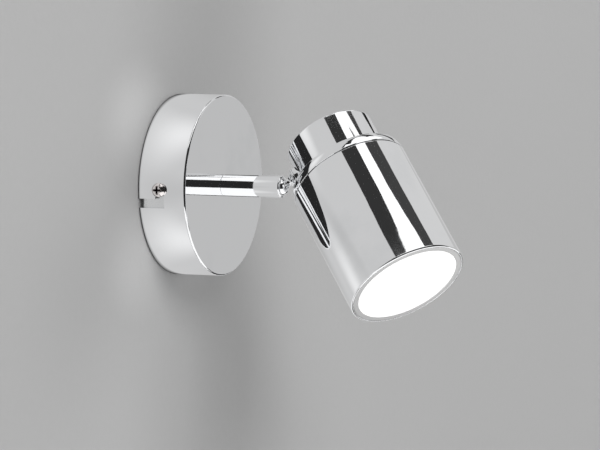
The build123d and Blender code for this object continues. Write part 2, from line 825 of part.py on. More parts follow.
# Leads from the terminals through the arm, and from the ball to the lampholder
wall_lead_end = ball_distance - ball_radius - lead_end_gap
lead_turn_end = stud_length - stud_offset + lead_straight
for side, wall_name, head_name in (
    (1, "live_lead_wall", "live_lead_head"),
    (-1, "neutral_lead_wall", "neutral_lead_head"),
):
    pole = side * pole_spacing / 2
    pair = side * lead_pair_offset
    block_side = block_position - block_length / 2
    with BuildPart() as wall_lead:
        with BuildLine():
            first = Line(
                (block_position - terminal_lead_inset, -sleeve_distance, pole),
                (block_side - lead_straight, -sleeve_distance, pole),
            )
            bend = Spline(
                first @ 1,
                (0, -arm_thread_end, pair),
                tangents=((-1, 0, 0), (0, -1, 0)),
            )
            Line(bend @ 1, (0, -wall_lead_end, pair))
        with BuildSketch(Plane(origin=first @ 0, z_dir=first % 0)):
            Circle(lead_radius)
        sweep()
    wall_lead.part.label = wall_name
    export_step(wall_lead.part, f"parts/{wall_name}.step")

    holder_side = side * holder_lead_offset
    stud_side = side * stud_lead_offset
    with BuildPart() as head_lead:
        with BuildLine():
            drop = Line(
                head_plane.from_local_coords((0, holder_side, bracket_front + lead_grip)),
                head_plane.from_local_coords((0, holder_side, step_face - lead_drop)),
            )
            turn = Spline(
                drop @ 1,
                head_plane.from_local_coords((lead_turn_end, stud_side, -stud_station)),
                tangents=(head_direction * -1, stud_direction * -1),
            )
            Line(turn @ 1, head_plane.from_local_coords((-stud_offset, stud_side, -stud_station)))
        with BuildSketch(Plane(origin=drop @ 0, z_dir=drop % 0)):
            Circle(lead_radius)
        sweep()
    head_lead.part.label = head_name
    export_step(head_lead.part, f"parts/{head_name}.step")
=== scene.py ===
"""Dressed model of a pivoting spotlight wall light: round canopy, short arm, ball joint and barrel head."""

import logging
import math
from dataclasses import dataclass, field
from enum import Enum

import bpy
import numpy as np
from mathutils import Matrix, Vector

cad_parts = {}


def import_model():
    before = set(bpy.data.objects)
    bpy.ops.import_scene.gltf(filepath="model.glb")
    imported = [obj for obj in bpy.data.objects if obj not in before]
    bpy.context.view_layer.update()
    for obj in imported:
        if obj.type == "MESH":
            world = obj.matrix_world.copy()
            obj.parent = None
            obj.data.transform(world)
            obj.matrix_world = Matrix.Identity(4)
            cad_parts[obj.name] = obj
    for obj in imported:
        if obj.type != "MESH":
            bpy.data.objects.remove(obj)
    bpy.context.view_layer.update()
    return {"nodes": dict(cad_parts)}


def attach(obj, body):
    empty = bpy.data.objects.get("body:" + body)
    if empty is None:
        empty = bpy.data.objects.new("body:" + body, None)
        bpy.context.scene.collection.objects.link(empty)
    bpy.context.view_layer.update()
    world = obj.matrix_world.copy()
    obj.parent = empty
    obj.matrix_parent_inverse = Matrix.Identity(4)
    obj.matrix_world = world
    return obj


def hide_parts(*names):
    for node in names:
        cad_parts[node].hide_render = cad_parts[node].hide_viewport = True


MM = 0.001
TURN = 2 * math.pi
WHITE = (1.0, 1.0, 1.0, 1.0)
log = logging.getLogger("spotlight")


class Body(Enum):
    """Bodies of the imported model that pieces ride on."""

    WALL = "wall_body"
    STUD = "stud"
    HEAD = "head"


class Slot(Enum):
    """Material slots of the record."""

    CHROME = "chrome"
    SATIN = "satin_metal"
    OPAL = "opal_glass"


# ---------------------------------------------------------------- surfaces


@dataclass(frozen=True)
class Axes:
    """A local frame of unit vectors u, v and w about a point, all in millimetres and in the row's frame."""

    origin: np.ndarray
    u: np.ndarray
    v: np.ndarray
    w: np.ndarray

    def place(self, radius: np.ndarray, angle: np.ndarray, along: np.ndarray) -> np.ndarray:
        """Points at radius * (cos angle * u + sin angle * v) + along * w.

        Args:
            radius: distances from the w axis.
            angle: turns about w in radians, measured from u.
            along: distances along w.

        Returns:
            The points, with one more array axis than the arguments, of length 3.
        """
        radius, angle, along = np.broadcast_arrays(radius, angle, along)
        across = np.cos(angle)[..., None] * self.u + np.sin(angle)[..., None] * self.v
        return self.origin + radius[..., None] * across + along[..., None] * self.w


def rounded(
    corners: list[tuple[float, float]], radii: list[float], steps: int = 8, guard: float = 0.15
) -> np.ndarray:
    """Polyline whose inner corners are replaced by arcs.

    A circle of radius r touches both runs at r / tan(half the corner's angle) from the corner. The arc is
    the spherical blend of its two end spokes. A guard point on each run, just off the arc, keeps the shading
    of the long run flat, so that mirror finishes aren't bent by it.

    Args:
        corners: the points of the open polyline.
        radii: a radius for each point; the first and last are not used.
        steps: points on each arc.
        guard: distance of the guard points from the arc's ends.

    Returns:
        An array of points of shape (n, 2).
    """
    points = np.array(corners, float)
    pieces = [points[:1]]
    for before, corner, after, radius in zip(points, points[1:], points[2:], radii[1:]):
        back = (before - corner) / np.linalg.norm(before - corner)
        ahead = (after - corner) / np.linalg.norm(after - corner)
        half = math.acos(float(np.clip(back @ ahead, -1, 1))) / 2
        if radius <= 0 or half > math.pi / 2 - 1e-6:
            pieces.append(corner[None])
            continue
        centre = corner + (back + ahead) / np.linalg.norm(back + ahead) * radius / math.sin(half)
        start = corner + back * radius / math.tan(half) - centre
        end = corner + ahead * radius / math.tan(half) - centre
        sweep = math.pi - 2 * half
        part = np.linspace(0, 1, steps)[:, None]
        arc = centre + (np.sin((1 - part) * sweep) * start + np.sin(part * sweep) * end) / math.sin(sweep)
        pieces.append(np.vstack([arc[:1] + back * guard, arc, arc[-1:] + ahead * guard]))
    pieces.append(points[-1:])
    return np.vstack(pieces)


def hermite(start: tuple, end: tuple, leave: tuple, arrive: tuple, steps: int = 16) -> np.ndarray:
    """Cubic curve between two points with given end slopes.

    P(t) = (2t3 - 3t2 + 1) start + (t3 - 2t2 + t) leave + (3t2 - 2t3) end + (t3 - t2) arrive.

    Args:
        start: first point.
        end: last point.
        leave: slope at the start.
        arrive: slope at the end.
        steps: number of points.

    Returns:
        An array of points of shape (steps, 2).
    """
    t = np.linspace(0, 1, steps)[:, None]
    ends = (2 * t**3 - 3 * t**2 + 1) * np.array(start) + (3 * t**2 - 2 * t**3) * np.array(end)
    return ends + (t**3 - 2 * t**2 + t) * np.array(leave) + (t**3 - t**2) * np.array(arrive)


@dataclass
class Surface:
    """Vertices in millimetres and faces of four or three corners, gathered before they become a mesh."""

    points: np.ndarray
    quads: np.ndarray
    triangles: np.ndarray = field(default_factory=lambda: np.zeros((0, 3), int))

    def joined(self, other: "Surface") -> "Surface":
        """Both surfaces in one."""
        shift = len(self.points)
        return Surface(
            np.vstack([self.points, other.points]),
            np.vstack([self.quads, other.quads + shift]),
            np.vstack([self.triangles, other.triangles + shift]),
        )

    def volume(self) -> float:
        """Signed volume: the sum over triangles of a . (b x c) / 6, positive where faces point outwards."""
        corners = np.vstack([self.quads[:, [0, 1, 2]], self.quads[:, [0, 2, 3]], self.triangles])
        a, b, c = (self.points[corners[:, i]] for i in range(3))
        return float(np.einsum("ij,ij->i", a, np.cross(b, c)).sum() / 6)

    def outward(self) -> "Surface":
        """The same closed surface with its faces turned outwards."""
        if self.volume() >= 0:
            return self
        return Surface(self.points, self.quads[:, ::-1], self.triangles[:, ::-1])

    def piece(self, name: str, sharp_degrees: float = 32.0) -> bpy.types.Object:
        """Makes the object: the mesh holds its place, and edges sharper than the angle stay crisp.

        Args:
            name: the object's name.
            sharp_degrees: edges that turn by more than this are shaded sharp.

        Returns:
            The new object, linked to the scene.
        """
        mesh = bpy.data.meshes.new(name)
        faces = self.quads.tolist() + self.triangles.tolist()
        mesh.from_pydata((self.points * MM).tolist(), [], faces)
        mesh.validate()
        mesh.shade_smooth()
        mesh.set_sharp_from_angle(angle=math.radians(sharp_degrees))
        thing = bpy.data.objects.new(name, mesh)
        bpy.context.scene.collection.objects.link(thing)
        return thing


def revolve(axes: Axes, profile: np.ndarray, columns: int = 192, ring: bool = True) -> Surface:
    """Surface of revolution: point (i, j) is profile radius and station i turned by 2 pi j / columns.

    Args:
        axes: the frame whose w is the axis.
        profile: points (radius, station). A first or last radius of 0 is closed as a pole.
        columns: steps round the axis.
        ring: whether the last profile point joins the first.

    Returns:
        The closed surface with its faces outwards.
    """
    rows = len(profile)
    angle = np.arange(columns) * TURN / columns
    points = axes.place(profile[:, :1], angle[None], profile[:, 1:]).reshape(-1, 3)
    low = np.arange(rows if ring else rows - 1)
    row, column = np.meshgrid(low, np.arange(columns), indexing="ij")
    index = np.arange(rows * columns).reshape(rows, columns)
    if not ring:
        index[0] = index[0, 0] if profile[0, 0] < 1e-9 else index[0]
        index[-1] = index[-1, 0] if profile[-1, 0] < 1e-9 else index[-1]
    after, beside = (row + 1) % rows, (column + 1) % columns
    quads = np.stack([index[row, column], index[row, beside], index[after, beside], index[after, column]], -1)
    quads = quads.reshape(-1, 4)
    start_pole = quads[:, 0] == quads[:, 1]
    end_pole = quads[:, 2] == quads[:, 3]
    triangles = np.vstack([quads[start_pole][:, [0, 2, 3]], quads[end_pole][:, [0, 1, 2]]])
    quads = quads[~(start_pole | end_pole)]
    used, flat = np.unique(np.concatenate([quads.ravel(), triangles.ravel()]), return_inverse=True)
    cut = quads.size
    return Surface(points[used], flat[:cut].reshape(-1, 4), flat[cut:].reshape(-1, 3)).outward()


def thick_sheet(outer: np.ndarray, inner: np.ndarray, keep: np.ndarray) -> Surface:
    """Solid between two matching grids that close on themselves sideways, with some cells left out.

    Cell (i, j) has corners (i, j) to (i + 1, j + 1). Where a kept cell meets a dropped cell or an end of the
    grid, a wall joins the outer grid to the inner one.

    Args:
        outer: outer points, of shape (rows, columns, 3).
        inner: inner points, of the same shape.
        keep: which cells are kept, of shape (rows - 1, columns).

    Returns:
        The closed surface with its faces outwards.
    """
    rows, columns = outer.shape[:2]
    index = np.arange(rows * columns).reshape(rows, columns)
    right = np.roll(index, -1, 1)
    cells = np.stack([index[:-1], right[:-1], right[1:], index[1:]], -1)[keep]
    shift = rows * columns
    walls = []
    none = np.zeros((1, columns), bool)
    below, above, beside = np.vstack([none, keep]), np.vstack([keep, none]), np.roll(keep, 1, 1)
    for present, absent, a, b in (
        (above, below, index, right),
        (below, above, right, index),
        (keep, beside, index[1:], index[:-1]),
        (beside, keep, index[:-1], index[1:]),
    ):
        edge = present & ~absent
        walls.append(np.stack([b[edge], a[edge], a[edge] + shift, b[edge] + shift], -1))
    points = np.vstack([outer.reshape(-1, 3), inner.reshape(-1, 3)])
    quads = np.vstack([cells, cells[:, ::-1] + shift, *walls])
    used, flat = np.unique(quads.ravel(), return_inverse=True)
    return Surface(points[used], flat.reshape(-1, 4)).outward()


# ---------------------------------------------------------------- shader graphs


class Value:
    """A number socket of a node tree; arithmetic on it adds Math nodes."""

    def __init__(self, graph: "Graph", socket: bpy.types.NodeSocket) -> None:
        """Keeps the graph and the socket."""
        self.graph = graph
        self.socket = socket

    def math(self, operation: str, *others: object) -> "Value":
        """One Math node of this value and others."""
        sockets = dict(enumerate((self, *others)))
        node = self.graph.add("ShaderNodeMath", {"operation": operation}, sockets)
        return Value(self.graph, node.outputs[0])

    def __add__(self, other: object) -> "Value":
        """Sum."""
        return self.math("ADD", other)

    __radd__ = __add__

    def __mul__(self, other: object) -> "Value":
        """Product."""
        return self.math("MULTIPLY", other)

    __rmul__ = __mul__

    def __sub__(self, other: object) -> "Value":
        """Difference."""
        return self.math("SUBTRACT", other)

    def __rsub__(self, other: object) -> "Value":
        """Difference the other way round."""
        return (self * -1.0) + other

    def __truediv__(self, other: object) -> "Value":
        """Quotient."""
        return self.math("DIVIDE", other)

    def step(self, low: float, high: float, start: float = 0.0, end: float = 1.0) -> "Value":
        """Smooth step from start to end while this value goes from low to high."""
        settings = {"interpolation_type": "SMOOTHSTEP"}
        node = self.graph.add("ShaderNodeMapRange", settings, {0: self, 1: low, 2: high, 3: start, 4: end})
        return Value(self.graph, node.outputs[0])


class Graph:
    """The node tree of one material or world."""

    def __init__(self, owner: bpy.types.ID) -> None:
        """Empties the owner's node tree and keeps it."""
        owner.use_nodes = True
        self.tree = owner.node_tree
        self.tree.nodes.clear()

    def add(self, kind: str, settings: dict | None = None, sockets: dict | None = None) -> bpy.types.Node:
        """Adds one node.

        Args:
            kind: the node's type name.
            settings: attributes, which are set first.
            sockets: input sockets by name or number, each a Value, a socket or a constant.

        Returns:
            The node.
        """
        node = self.tree.nodes.new(kind)
        for key, setting in (settings or {}).items():
            setattr(node, key, setting)
        for key, given in (sockets or {}).items():
            socket = node.inputs[key]
            if isinstance(given, Value):
                self.tree.links.new(given.socket, socket)
            elif isinstance(given, bpy.types.NodeSocket):
                self.tree.links.new(given, socket)
            else:
                socket.default_value = given
        return node

    def value(self, node: bpy.types.Node, output: int | str = 0) -> Value:
        """A node's output as a Value."""
        return Value(self, node.outputs[output])

    def place(self) -> bpy.types.NodeSocket:
        """Object coordinates."""
        return self.add("ShaderNodeTexCoord").outputs["Object"]

    def vector(self, operation: str, *given: object, output: int | str = 0) -> bpy.types.NodeSocket:
        """One output of a Vector Math node."""
        sockets = dict(enumerate(given))
        return self.add("ShaderNodeVectorMath", {"operation": operation}, sockets).outputs[output]

    def length(self, vector: bpy.types.NodeSocket) -> Value:
        """Length of a vector."""
        return Value(self, self.vector("LENGTH", vector, output="Value"))

    def off_axis(self, spot: bpy.types.NodeSocket, point: tuple, axis: tuple) -> Value:
        """Distance from an axis: the length of (spot - point) x axis."""
        return self.length(self.vector("CROSS_PRODUCT", self.vector("SUBTRACT", spot, point), axis))

    def noise(
        self, where: bpy.types.NodeSocket, scale: float, detail: float = 3.0, rough: float = 0.5
    ) -> Value:
        """Noise of about one feature per 1 / scale metres."""
        sockets = {"Vector": where, "Scale": scale, "Detail": detail, "Roughness": rough}
        return self.value(self.add("ShaderNodeTexNoise", {}, sockets))

    def blend(self, factor: object, first: object, second: object) -> bpy.types.NodeSocket:
        """Mix of two colours."""
        sockets = {0: factor, 6: first, 7: second}
        return self.add("ShaderNodeMix", {"data_type": "RGBA"}, sockets).outputs[2]

    def bump(self, height: Value, distance: float, strength: float = 1.0) -> bpy.types.NodeSocket:
        """Normal bent by a height between 0 and 1 that stands for so many metres."""
        sockets = {"Height": height, "Distance": distance, "Strength": strength}
        return self.add("ShaderNodeBump", {}, sockets).outputs[0]

    def surface(self, sockets: dict) -> None:
        """Principled shader on the material's output."""
        shader = self.add("ShaderNodeBsdfPrincipled", {}, sockets)
        self.add("ShaderNodeOutputMaterial", {}, {"Surface": shader.outputs[0]})


def rgba(colour: tuple[float, float, float]) -> tuple[float, float, float, float]:
    """The colour with full alpha."""
    return (*colour, 1.0)


def empty_material(name: str) -> tuple[bpy.types.Material, Graph]:
    """A new material and its empty graph."""
    material = bpy.data.materials.new(name)
    return material, Graph(material)


@dataclass(frozen=True)
class Plate:
    """Metal finish: a mirror or satin plate with soft waves, smudges and fine marks."""

    name: str
    colour: tuple[float, float, float]
    dull: tuple[float, float, float]
    roughness: float
    smudge: float
    wave_size: float
    wave_height: float
    grain_size: float
    grain_height: float

    def tint(self, graph: Graph, smudge: Value, fine: Value) -> bpy.types.NodeSocket:
        """Base colour, duller under smudges and fine marks."""
        return graph.blend(smudge * 0.6 + fine * 0.2, rgba(self.colour), rgba(self.dull))

    def build(self) -> bpy.types.Material:
        """Material whose tint and roughness follow smudges, with waves and grain in its normal."""
        material, graph = empty_material(self.name)
        where = graph.place()
        smudge = graph.noise(where, 0.3 / self.wave_size, 4.0, 0.62).step(0.48, 0.72)
        fine = graph.noise(where, 1.0 / self.grain_size, 2.0, 0.5)
        wave = graph.noise(where, 1.0 / self.wave_size, 1.0, 0.4)
        height = wave + fine * (self.grain_height / self.wave_height)
        rough = smudge * self.smudge + fine * (0.5 * self.smudge) + self.roughness
        graph.surface(
            {
                "Base Color": self.tint(graph, smudge, fine),
                "Metallic": 1.0,
                "Roughness": rough,
                "Normal": graph.bump(height, self.wave_height),
            }
        )
        return material


@dataclass(frozen=True)
class ScrewPlate(Plate):
    """Plate of the side screws, dark with painted shade inside their cross recesses."""

    painted_recess_shade: tuple[float, float, float] = (0.045, 0.035, 0.033)
    seat: float = 0.0455
    station: float = 0.0116
    recess_reach: float = 0.0021
    recess_top: float = 0.0027
    recess_floor: float = 0.0022

    def tint(self, graph: Graph, smudge: Value, fine: Value) -> bpy.types.NodeSocket:
        """Base colour, darkened by painted shade within the recess's reach of the screws' line and below its
        top edge.
        """
        parts = graph.add("ShaderNodeSeparateXYZ", {}, {0: graph.place()})
        height = graph.value(parts, "X").math("ABSOLUTE") - self.seat
        along, up = graph.value(parts, "Y") + self.station, graph.value(parts, "Z")
        away = (along * along + up * up).math("SQRT")
        # painted shade: the recess floor and walls are darkened to stand for the shade inside the cross
        sunk = height.step(self.recess_floor, self.recess_top, 1.0, 0.0) * height.step(0.0, 0.0004)
        recess_shade_mask = sunk * away.step(self.recess_reach * 0.95, self.recess_reach * 1.15, 1.0, 0.0)
        return graph.blend(recess_shade_mask, super().tint(graph, smudge, fine), rgba(self.painted_recess_shade))


@dataclass(frozen=True)
class Moulding:
    """Plastic, rubber or ceramic finish: mottled colour, fine skin texture and a few darker specks."""

    name: str
    colour: tuple[float, float, float]
    shade: tuple[float, float, float]
    roughness: float
    texture_size: float
    texture_height: float
    specks: float = 0.0

    def build(self) -> bpy.types.Material:
        """Material with a mottled colour and a textured skin."""
        material, graph = empty_material(self.name)
        where = graph.place()
        mottle = graph.noise(where, 120.0, 4.0, 0.6).step(0.3, 0.75)
        skin = graph.noise(where, 1.0 / self.texture_size, 3.0, 0.6)
        specks = graph.noise(where, 1600.0, 1.0).step(0.7, 0.76) * self.specks
        graph.surface(
            {
                "Base Color": graph.blend(mottle * 0.7 + specks, rgba(self.colour), rgba(self.shade)),
                "Roughness": skin * 0.15 + self.roughness,
                "Normal": graph.bump(skin, self.texture_height),
            }
        )
        return material


@dataclass(frozen=True)
class OpalGlow:
    """Lit opal glass: bright in the middle, a little duller towards the rim, with a satin skin."""

    name: str
    axis_point: tuple[float, float, float]
    axis: tuple[float, float, float]
    radius: float
    glow: float
    rim_glow: float

    def build(self) -> bpy.types.Material:
        """Material whose glow falls with the distance from the glass's axis."""
        material, graph = empty_material(self.name)
        spot = graph.place()
        part = graph.off_axis(spot, self.axis_point, self.axis) / self.radius
        cloud = graph.noise(spot, 60.0, 3.0, 0.5)
        fall = part.step(0.45, 1.02) + cloud * 0.06 - 0.03
        skin = graph.noise(spot, 900.0, 2.0, 0.5)
        graph.surface(
            {
                "Base Color": rgba((0.82, 0.82, 0.8)),
                "Roughness": skin * 0.1 + 0.32,
                "Emission Color": graph.blend(fall, rgba((self.glow,) * 3), rgba((self.rim_glow,) * 3)),
                "Emission Strength": 1.0,
                "Normal": graph.bump(skin, 0.00001),
            }
        )
        return material


@dataclass(frozen=True)
class ClearLens:
    """Frosted clear lens of the lamp inside the head."""

    name: str

    def build(self) -> bpy.types.Material:
        """Material with a fine stippled skin on clear glass."""
        material, graph = empty_material(self.name)
        sockets = {"Vector": graph.place(), "Scale": 700.0}
        stipple = graph.value(graph.add("ShaderNodeTexVoronoi", {}, sockets))
        graph.surface(
            {
                "Base Color": rgba((0.93, 0.94, 0.93)),
                "Roughness": stipple * 0.1 + 0.2,
                "Transmission Weight": 0.9,
                "IOR": 1.5,
                "Normal": graph.bump(stipple, 0.0001),
            }
        )
        return material


@dataclass(frozen=True)
class RingSatin:
    """Turned satin metal of the front ring: fine grooves that run round its axis."""

    name: str
    axis_point: tuple[float, float, float]
    axis: tuple[float, float, float]
    colour: tuple[float, float, float]

    def build(self) -> bpy.types.Material:
        """Material whose grooves are a noise of the distance from the axis."""
        material, graph = empty_material(self.name)
        spot = graph.place()
        reach = graph.off_axis(spot, self.axis_point, self.axis)
        sockets = {"W": reach, "Scale": 4500.0, "Detail": 2.0}
        groove = graph.value(graph.add("ShaderNodeTexNoise", {"noise_dimensions": "1D"}, sockets))
        cloud = graph.noise(spot, 90.0, 3.0)
        darker = tuple(0.72 * part for part in self.colour)
        graph.surface(
            {
                "Base Color": graph.blend(groove * 0.5 + cloud * 0.3, rgba(self.colour), rgba(darker)),
                "Metallic": 1.0,
                "Roughness": groove * 0.12 + cloud * 0.08 + 0.26,
                "Normal": graph.bump(groove, 0.00001, 0.6),
            }
        )
        return material


# ---------------------------------------------------------------- the object


def dress(piece: bpy.types.Object, body: Body, slot: Slot, finish: bpy.types.Material, *nodes: str) -> None:
    """Gives a new piece its finish and its body, and hides the CAD nodes that it stands for.

    Args:
        piece: the new object.
        body: the body that it rides on.
        slot: the record's slot of its finish; not used.
        finish: its material.
        nodes: names of the CAD nodes that it replaces.
    """
    piece.data.materials.append(finish)
    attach(piece, body.value)
    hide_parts(*nodes)
    log.info("%s rides on %s: %d faces", piece.name, body.value, len(piece.data.polygons))


WALL_AXES = Axes(np.zeros(3), np.array([1.0, 0, 0]), np.array([0, 0, 1.0]), np.array([0, -1.0, 0]))


@dataclass
class Canopy:
    """Round pressed cup on the wall with two bayonet slots and its two side screws."""

    radius: float = 45.5
    depth: float = 25.5
    wall: float = 1.2
    edge_round: float = 1.0
    inner_round: float = 0.4
    rim_round: float = 0.6
    rim_steps: int = 7
    hole_radius: float = 5.05
    screw_distance: float = 11.6
    slot_width: float = 4.6
    slot_entry: float = 6.8
    screw_head_radius: float = 3.5
    screw_head_height: float = 3.0
    screw_dome: float = 1.6
    screw_shank_radius: float = 2.0
    screw_length: float = 7.0
    recess_reach: float = 2.1
    recess_width: float = 0.95
    recess_depth: float = 1.7
    recess_wall: float = 0.14
    recess_end: float = 0.2
    head_flat: float = 0.25
    shank_point: float = 0.5

    def shell(self) -> Surface:
        """The cup: a rounded profile revolved about the arm's axis, with the slots' cells left out."""
        slot_end = self.screw_distance + self.slot_width / 2
        slot_start = slot_end - self.slot_width
        wall_radius = self.radius - self.wall
        turn = np.linspace(0, math.pi / 2, self.rim_steps)
        rim = self.radius - self.rim_round * (1 - np.sin(turn))
        rise = self.rim_round * (1 - np.cos(turn))
        stations = [self.rim_round + 0.1, slot_start / 2, slot_start, slot_end, slot_end + 3]
        outer_corner = rounded(
            [(self.radius, slot_end + 3), (self.radius, self.depth), (self.hole_radius, self.depth)],
            [0, self.edge_round, 0],
            10,
        )[1:]
        inner_corner = rounded(
            [
                (wall_radius, slot_end + 3),
                (wall_radius, self.depth - self.wall),
                (self.hole_radius, self.depth - self.wall),
            ],
            [0, self.inner_round, 0],
            10,
        )[1:]
        outer = np.vstack([np.column_stack([rim, rise]), [(self.radius, y) for y in stations], outer_corner])
        inner_stations = [(wall_radius, y) for y in [*rise, *stations]]
        inner = np.vstack([inner_stations, inner_corner])
        low = math.asin((self.slot_entry - self.slot_width / 2) / self.radius)
        high = math.asin((self.slot_entry + self.slot_width / 2) / self.radius)
        mouth = math.asin(self.slot_width / 2 / self.radius)
        edges = np.array([low, high, -mouth, math.pi + low, math.pi + high, math.pi - mouth])
        even = np.arange(240) * TURN / 240
        clear = np.abs((even[:, None] - edges + math.pi) % TURN - math.pi).min(1) > 0.006
        angle = np.unique(np.round(np.concatenate([even[clear], edges % TURN]), 9))
        middle = (angle + (np.roll(angle, -1) - angle) % TURN / 2) % TURN
        side = (middle + math.pi / 2) % math.pi - math.pi / 2
        heights = (outer[:-1, 1] + outer[1:, 1]) / 2
        heights = heights[:, None]
        entry = (heights < slot_end) & (side > low) & (side < high)
        run = (heights > slot_start) & (heights < slot_end) & (side > -mouth) & (side < high)
        outside = WALL_AXES.place(outer[:, :1], angle[None], outer[:, 1:])
        inside = WALL_AXES.place(inner[:, :1], angle[None], inner[:, 1:])
        return thick_sheet(outside, inside, ~(entry | run))

    def screw(self, side: int) -> Surface:
        """One side screw: a domed head with a cross recess cut as a dip in its height, and a shank.

        The head's top is a polar grid of radius q and angle p. Its height is the dome, the full height minus
        dome * (q / head radius) ** 4, lowered by the recess depth where the nearer arm of the cross,
        min(|x|, |y|), is under half its width and q is within its reach.

        Args:
            side: 1 for the screw at +x, -1 for the one at -x.

        Returns:
            The closed surface.
        """
        columns = 96
        q = np.concatenate([np.linspace(0, 0.62, 22), np.linspace(0.64, 1.0, 14)]) * self.screw_head_radius
        p = np.arange(columns) * TURN / columns
        qq, pp = np.meshgrid(q, p, indexing="ij")
        across, up = np.abs(qq * np.cos(pp)), np.abs(qq * np.sin(pp))
        near, far = np.minimum(across, up), np.maximum(across, up)
        inside = np.clip((self.recess_width / 2 - near) / self.recess_wall + 0.5, 0, 1)
        inside = inside * np.clip((self.recess_reach - far) / self.recess_end + 0.5, 0, 1)
        dip = self.recess_depth * np.clip(1.15 - far / self.recess_reach, 0.3, 1)
        dome = self.screw_head_height - self.screw_dome * (qq / self.screw_head_radius) ** 4
        top = dome - dip * inside
        rest = np.array(
            [
                (self.screw_head_radius, 2 * self.head_flat),
                (self.screw_head_radius - self.head_flat, 0.0),
                (self.screw_shank_radius, 0.0),
                (self.screw_shank_radius, self.shank_point - self.screw_length),
                (self.screw_shank_radius - self.shank_point, -self.screw_length),
                (0.0, -self.screw_length),
            ]
        )
        heights = np.vstack([top, np.repeat(rest[:, 1:], columns, 1)])
        radii = np.vstack([qq, np.repeat(rest[:, :1], columns, 1)])
        seat = np.array([side * self.radius, -self.screw_distance, 0.0])
        axes = Axes(seat, np.array([0, 1.0, 0]), np.array([0, 0, 1.0]), np.array([float(side), 0, 0]))
        shape = revolve(axes, np.column_stack([radii[:, 0], heights[:, 0]]), columns, ring=False)
        points = axes.place(radii, np.broadcast_to(p, radii.shape), heights)
        last = columns * (len(radii) - 1)
        keep = np.concatenate([[0], np.arange(columns, last + 1)])
        return Surface(points.reshape(-1, 3)[keep], shape.quads, shape.triangles).outward()

    def build(self, chrome: bpy.types.Material, screw_finish: bpy.types.Material) -> None:
        """Makes and dresses the cup and its screws."""
        dress(self.shell().piece("canopy_shell"), Body.WALL, Slot.CHROME, chrome, "canopy")
        screws = self.screw(1).joined(self.screw(-1))
        dress(screws.piece("canopy_side_screws"), Body.WALL, Slot.CHROME, screw_finish, "canopy_screws")


@dataclass
class Arm:
    """Straight tube from the canopy to the ball, with a socket at its free end."""

    radius: float = 5.5
    start: float = 25.5
    reach: float = 32.3
    end_round: float = 1.05
    thread_radius: float = 5.0
    thread_end: float = 17.5
    bore_radius: float = 3.2
    spring_shelf: float = 38.2
    ball_radius: float = 4.5
    ball_inset: float = 1.6
    ball_clearance: float = 0.06

    def tube(self) -> Surface:
        """The tube: its outline with the threaded root, the rounded lip and the ball's socket, revolved."""
        end = self.start + self.reach
        socket = self.ball_radius + self.ball_clearance
        centre = end - self.ball_inset
        lip = math.sqrt(socket**2 - self.ball_inset**2)
        outline = rounded(
            [
                (self.bore_radius, self.thread_end),
                (self.thread_radius, self.thread_end),
                (self.thread_radius, self.start),
                (self.radius, self.start),
                (self.radius, end),
                (lip, end),
            ],
            [0, 0.3, 0, 0.25, self.end_round, 0],
            7,
        )
        fall = np.linspace(math.asin(self.ball_inset / socket), 0, 8)[1:]
        cup = np.column_stack([socket * np.cos(fall), centre + socket * np.sin(fall)])
        inside = [(socket, self.spring_shelf), (self.bore_radius, self.spring_shelf)]
        return revolve(WALL_AXES, np.vstack([outline, cup, inside]), 160)

    def build(self, chrome: bpy.types.Material) -> None:
        """Makes and dresses the tube."""
        dress(self.tube().piece("arm_tube_polished"), Body.WALL, Slot.CHROME, chrome, "arm_tube")


@dataclass
class HeadPlace:
    """Where the ball, the stud and the head's axis lie at rest."""

    ball_distance: float = 56.2
    swing: float = 49.4
    tilt: float = 37.3
    spin: float = 13.1
    stud_offset: float = 32.7
    stud_station: float = 14.7

    def turned(self) -> np.ndarray:
        """Columns are the stud frame's directions: the wall frame turned by swing, tilt and spin in order."""
        base = Matrix(((1, 0, 0), (0, 0, -1), (0, 1, 0)))
        swing = Matrix.Rotation(math.radians(self.swing), 3, "Z")
        tilt = Matrix.Rotation(math.radians(self.tilt), 3, "Y")
        spin = Matrix.Rotation(math.radians(self.spin), 3, "Z")
        return np.array(base @ swing @ tilt @ spin)

    def stud_axes(self) -> Axes:
        """Frame at the ball's centre whose w points along the stud."""
        turned = self.turned()
        return Axes(np.array([0, -self.ball_distance, 0]), turned[:, 0], turned[:, 1], turned[:, 2])

    def head_axes(self) -> Axes:
        """Frame at the seam behind the barrel whose w points along the beam and whose u leaves the stud."""
        stud = self.stud_axes()
        ahead = -stud.u
        origin = stud.origin + self.stud_offset * stud.w + self.stud_station * ahead
        return Axes(origin, stud.w, np.cross(ahead, stud.w), ahead)


